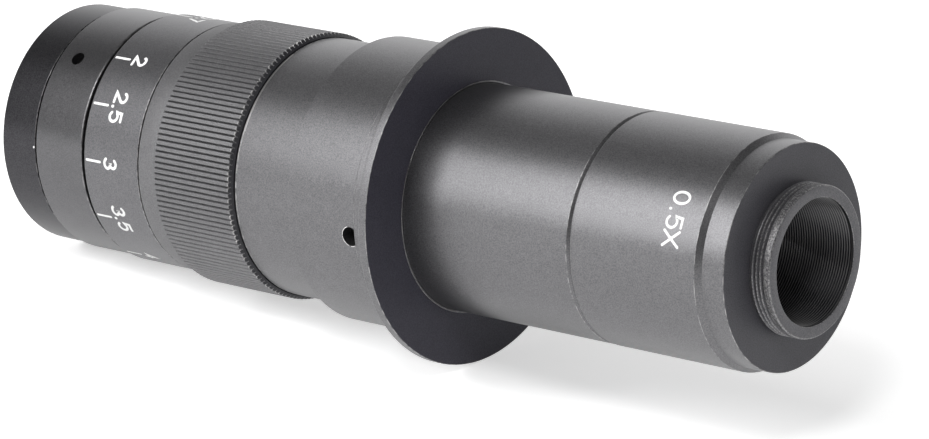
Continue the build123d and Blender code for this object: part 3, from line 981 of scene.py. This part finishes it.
def add_stroke(body, points, width, radius, facing, height):
    """Adds one painted stroke to a bmesh, bent round the cylinder of that radius."""
    left, right = stroke_outline(points, width)
    centre_first, centre_last = Vector(points[0]), Vector(points[-1])
    first_cap = cap(centre_first, left[0], 1)
    last_cap = cap(centre_last, right[-1], 1)

    def place(point, r):
        out = facing_direction(facing + math.degrees(point.x / radius))
        return body.verts.new((out.x * r, out.y * r, height + point.y))

    top, bottom = radius + PAINT_PROUD, radius - PAINT_DEPTH
    rim = right + last_cap + left[::-1] + first_cap
    upper = [place(p, top) for p in rim]
    lower = [place(p, bottom) for p in rim]
    count = len(points)
    for i in range(len(rim)):
        j = (i + 1) % len(rim)
        body.faces.new((upper[i], upper[j], lower[j], lower[i]))
    for layer, flip in ((upper, False), (lower, True)):
        rights = layer[:count]
        caps_last = layer[count:count + len(last_cap)]
        lefts = layer[count + len(last_cap):2 * count + len(last_cap)][::-1]
        caps_first = layer[2 * count + len(last_cap):]
        for i in range(count - 1):
            quad = (rights[i], rights[i + 1], lefts[i + 1], lefts[i])
            body.faces.new(quad[::-1] if flip else quad)
        for fan in ([rights[-1], *caps_last, lefts[-1]], [lefts[0], *caps_first, rights[0]]):
            body.faces.new(fan[::-1] if flip else fan)


def fine_line(points, limit):
    """The same line with long spans divided, so that it bends round the ring."""
    found = [points[0]]
    for here, there in zip(points, points[1:]):
        gap = (Vector(there) - Vector(here)).length
        pieces = max(1, math.ceil(gap / limit))
        for k in range(1, pieces + 1):
            found.append((
                here[0] + (there[0] - here[0]) * k / pieces,
                here[1] + (there[1] - here[1]) * k / pieces,
            ))
    return found


def paint(name, strokes, body_name, finish=None, slot="white_marking"):
    """One object from a list of strokes (points, width, radius, facing, height)."""
    mesh = bpy.data.meshes.new(name)
    body = bmesh.new()
    for points, width, radius, facing, height in strokes:
        add_stroke(body, fine_line(points, STROKE_SPAN), width, radius, facing, height)
    bmesh.ops.recalc_face_normals(body, faces=body.faces)
    finish_mesh(body, mesh)
    return add_object(name, mesh, finish or PAINT_WHITE, body_name, slot=slot)


def number_strokes(text, size, pitch, width, radius, facing, height):
    """Strokes of a number centred at a facing angle. A point takes a smaller share of the pitch."""
    shares = [0.5 if sign == "." else 1.0 for sign in text]
    total = sum(shares)
    strokes = []
    along = -total / 2
    for sign, share in zip(text, shares):
        middle = (along + share / 2) * pitch
        along += share
        for line in GLYPHS[sign]:
            points = [(middle + x * size, y * size) for x, y in line]
            strokes.append((points, width, radius, facing, height))
    return strokes


# Zoom scale: each reading and its facing angle in the pose of the photograph
SCALE_READINGS = {
    "0.7": -76.8, "2": -32.7, "2.5": -8.85, "3": 17.2, "3.5": 45.0, "4": 73.4, "4.5": 101.7,
}
TICK_STROKE = 0.46 * MM
TICK_LOW = 22.03 * MM
TICK_HIGH = 25.3 * MM
DIGIT_SIZE = 2.75 * MM
DIGIT_PITCH = 2.35 * MM
DIGIT_HEIGHT = 27.8 * MM


def zoom_scale():
    radius = outer_r("scale_ring")
    for label, facing in SCALE_READINGS.items():
        middle = (TICK_LOW + TICK_HIGH) / 2
        half = (TICK_HIGH - TICK_LOW) / 2
        strokes = [([(0, -half), (0, half)], TICK_STROKE, radius, facing, middle)]
        strokes += number_strokes(label, DIGIT_SIZE, DIGIT_PITCH, STROKE, radius, facing, DIGIT_HEIGHT)
        paint("scale_reading_" + label.replace(".", "_"), strokes, "zoom_ring")


INDEX_DOT_FACING = 17.1
INDEX_DOT_HEIGHT = 7.95 * MM
INDEX_DOT_SIZE = 0.38 * MM
INDEX_DOT_HALF = 0.03 * MM
POWER_FACING = -7.9
POWER_HEIGHT = 149.95 * MM
POWER_SIZE = 3.05 * MM
POWER_STROKE = 0.46 * MM
POWER_PITCH = 2.75 * MM


def body_marks():
    strokes = number_strokes("0.5X", POWER_SIZE, POWER_PITCH, POWER_STROKE, outer_r("adapter_tube"),
                             POWER_FACING, POWER_HEIGHT)
    paint("power_marking", strokes, "lens_body")
    dot = [([(-INDEX_DOT_HALF, 0), (INDEX_DOT_HALF, 0)], INDEX_DOT_SIZE, outer_r("objective_ring"),
            INDEX_DOT_FACING, INDEX_DOT_HEIGHT)]
    paint("index_dot", dot, "lens_body")


# Arcs of bright metal on each screw hole's rim, on the part that shows a highlight: partly painted highlight
HOLE_EDGE = 0.13 * MM
HOLE_EDGE_ARCS = ((-160, -95), (-85, -20), (0, 25))


def hole_edges():
    """Bright bare-metal arcs on the rims of the collar's screw holes: rubbed edges, and a painted highlight
    on the part of each rim that catches the light.
    """
    ring = (COLLAR_HOLE + HOLE_EDGE) / 2
    height = (low_z("collar_set_screws") + high_z("collar_set_screws")) / 2
    collar = outer_r("body_tube")
    strokes = []
    for facing in screw_facings(COLLAR_SCREW_FACING):
        for start, end in HOLE_EDGE_ARCS:
            strokes.append((arc(0, 0, ring, ring, start, end), HOLE_EDGE, collar, facing, height))
    paint("collar_hole_edge_highlights", strokes, "lens_body", finish=WORN_EDGE_AND_HIGHLIGHT, slot="black_anodised")


# Stage and light

def make_table():
    data = bpy.data.meshes.new("table")
    half = TABLE_SIZE / 2
    side = TABLE_DOWN.cross(Vector((0, 0, 1))).normalized()
    along = side.cross(TABLE_DOWN)
    centre = TABLE_DOWN * TABLE_DISTANCE + Vector((0, 0, TABLE_MIDDLE_Z))
    centre -= TABLE_DOWN * (centre.dot(TABLE_DOWN) - TABLE_DISTANCE)
    corners = [centre + side * half * a + along * half * b for a, b in ((-1, -1), (1, -1), (1, 1), (-1, 1))]
    body = bmesh.new()
    face = body.faces.new([body.verts.new(c) for c in corners])
    face.normal_update()
    if face.normal.dot(TABLE_DOWN) > 0:
        face.normal_flip()
    body.to_mesh(data)
    body.free()
    table = bpy.data.objects.new("table", data)
    bpy.context.scene.collection.objects.link(table)
    data.materials.append(table_material())


TABLE_WHITE = (0.86, 0.86, 0.86)
TABLE_SEEN_GLOW = 0.53
TABLE_MIRRORED_GLOW = 0.4


def table_material():
    """White table, a little overexposed to the camera and in reflections. It keeps the shadow."""
    material = bpy.data.materials.new("table_white")
    material.use_nodes = True
    material.node_tree.nodes.clear()
    paper = node(material, "ShaderNodeBsdfDiffuse")
    paper.inputs["Color"].default_value = (*TABLE_WHITE, 1)
    rays = node(material, "ShaderNodeLightPath")
    seen = node(material, "ShaderNodeMath", operation="MULTIPLY")
    link(material, rays, "Is Camera Ray", seen, 0)
    seen.inputs[1].default_value = TABLE_SEEN_GLOW
    through = node(material, "ShaderNodeMath", operation="MAXIMUM")
    link(material, rays, "Is Glossy Ray", through, 0)
    link(material, rays, "Is Transmission Ray", through, 1)
    strength = node(material, "ShaderNodeMath", operation="MULTIPLY_ADD")
    link(material, through, 0, strength, 0)
    strength.inputs[1].default_value = TABLE_MIRRORED_GLOW
    link(material, seen, 0, strength, 2)
    glow = node(material, "ShaderNodeEmission")
    link(material, strength, 0, glow, "Strength")
    front = node(material, "ShaderNodeAddShader")
    link(material, paper, 0, front, 0)
    link(material, glow, 0, front, 1)
    clear = node(material, "ShaderNodeBsdfTransparent")
    side = node(material, "ShaderNodeNewGeometry")
    whole = node(material, "ShaderNodeMixShader")
    link(material, side, "Backfacing", whole, 0)
    link(material, front, 0, whole, 1)
    link(material, clear, 0, whole, 2)
    output = node(material, "ShaderNodeOutputMaterial")
    link(material, whole, 0, output, "Surface")
    return material


# White sweep behind the lens, dark room above and behind the camera
SWEEP_DIRECTION = Vector((0.0, 0.86, -0.51))
SWEEP_START = 0.15
SWEEP_END = 0.75
SWEEP_LEVEL = 1.6
ROOM_DARK = 0.2
ROOM_SOFT_LIGHT = 0.35


def make_world():
    """White sweep on the far side and a dark room elsewhere. The camera sees white."""
    world = bpy.data.worlds.new("studio")
    bpy.context.scene.world = world
    world.use_nodes = True
    tree = world.node_tree
    tree.nodes.clear()
    output = tree.nodes.new("ShaderNodeOutputWorld")
    rays = tree.nodes.new("ShaderNodeLightPath")
    place = tree.nodes.new("ShaderNodeTexCoord")
    dot = tree.nodes.new("ShaderNodeVectorMath")
    dot.operation = "DOT_PRODUCT"
    tree.links.new(place.outputs["Generated"], dot.inputs[0])
    dot.inputs[1].default_value = tuple(SWEEP_DIRECTION)
    rise = tree.nodes.new("ShaderNodeMapRange")
    rise.interpolation_type = "SMOOTHSTEP"
    tree.links.new(dot.outputs["Value"], rise.inputs["Value"])
    rise.inputs["From Min"].default_value = SWEEP_START
    rise.inputs["From Max"].default_value = SWEEP_END
    rise.inputs["To Min"].default_value = ROOM_DARK
    rise.inputs["To Max"].default_value = SWEEP_LEVEL
    lit = tree.nodes.new("ShaderNodeMix")
    lit.data_type = "FLOAT"
    tree.links.new(rays.outputs["Is Diffuse Ray"], lit.inputs[0])
    tree.links.new(rise.outputs[0], lit.inputs[2])
    lit.inputs[3].default_value = ROOM_SOFT_LIGHT
    bright = tree.nodes.new("ShaderNodeMix")
    bright.data_type = "FLOAT"
    tree.links.new(rays.outputs["Is Camera Ray"], bright.inputs[0])
    tree.links.new(lit.outputs[0], bright.inputs[2])
    bright.inputs[3].default_value = 1.0
    background = tree.nodes.new("ShaderNodeBackground")
    tree.links.new(bright.outputs[0], background.inputs["Strength"])
    tree.links.new(background.outputs[0], output.inputs["Surface"])


def add_softbox(name, place, target, width, height, power):
    """Area lamp at a place, facing a target. Its height lies along the lens."""
    data = bpy.data.lights.new(name, "AREA")
    data.shape = "RECTANGLE"
    data.size = width
    data.size_y = height
    data.energy = power
    lamp = bpy.data.objects.new(name, data)
    toward = (place - target).normalized()
    along = (Vector((0, 0, 1)) - toward.z * toward).normalized()
    turn = Matrix((along.cross(toward), along, toward)).transposed().to_4x4()
    lamp.matrix_world = Matrix.Translation(place) @ turn
    bpy.context.scene.collection.objects.link(lamp)
    lamp.visible_camera = False
    return lamp


LENS_MIDDLE = Vector((0, 0, 0.09))
KEY_DIRECTION = Vector((-0.22, -0.90, -0.33)).normalized()
KEY_DISTANCE = 0.5
KEY_WIDTH = 0.40
KEY_HEIGHT = 0.36
KEY_RADIANCE = 4.0
TOP_DIRECTION = in_picture(-0.2, 0.8, 0.55)
TOP_DISTANCE = 1.5
TOP_SIZE = 1.0
TOP_POWER = 5.0
SIDE_DIRECTION = in_picture(-0.87, 0.40, 0.18)
SIDE_DISTANCE = 1.3
SIDE_SIZE = 0.45
SIDE_POWER = 13.0
FRONT_DIRECTION = in_picture(-0.14, 0.49, 0.84)
FRONT_DISTANCE = 1.2
FRONT_SIZE = 0.25
FRONT_POWER = 3.4


def make_lights():
    """A softbox that is only mirrored, two lamps that only light, and a small lamp that does both."""
    power = KEY_RADIANCE * KEY_WIDTH * KEY_HEIGHT * math.pi
    key = add_softbox("key_softbox", LENS_MIDDLE + KEY_DIRECTION * KEY_DISTANCE, LENS_MIDDLE,
                      KEY_WIDTH, KEY_HEIGHT, power)
    key.visible_diffuse = False
    top = add_softbox("top_light", LENS_MIDDLE + TOP_DIRECTION * TOP_DISTANCE, LENS_MIDDLE,
                      TOP_SIZE, TOP_SIZE, TOP_POWER)
    side = add_softbox("side_light", LENS_MIDDLE + SIDE_DIRECTION * SIDE_DISTANCE, LENS_MIDDLE,
                       SIDE_SIZE, SIDE_SIZE, SIDE_POWER)
    for lamp in (top, side):
        lamp.visible_glossy = False
    add_softbox("front_light", LENS_MIDDLE + FRONT_DIRECTION * FRONT_DISTANCE, LENS_MIDDLE,
                FRONT_SIZE, FRONT_SIZE, FRONT_POWER)


bpy.context.scene.view_settings.view_transform = "Standard"
make_camera()
dress_cad_nodes()
objective_ring()
index_ring()
scale_ring()
grip_ring()
body_tube()
flange_ring()
rear_tube()
adapter_tube()
camera_ring()
zoom_scale()
body_marks()
hole_edges()
make_table()
make_world()
make_lights()
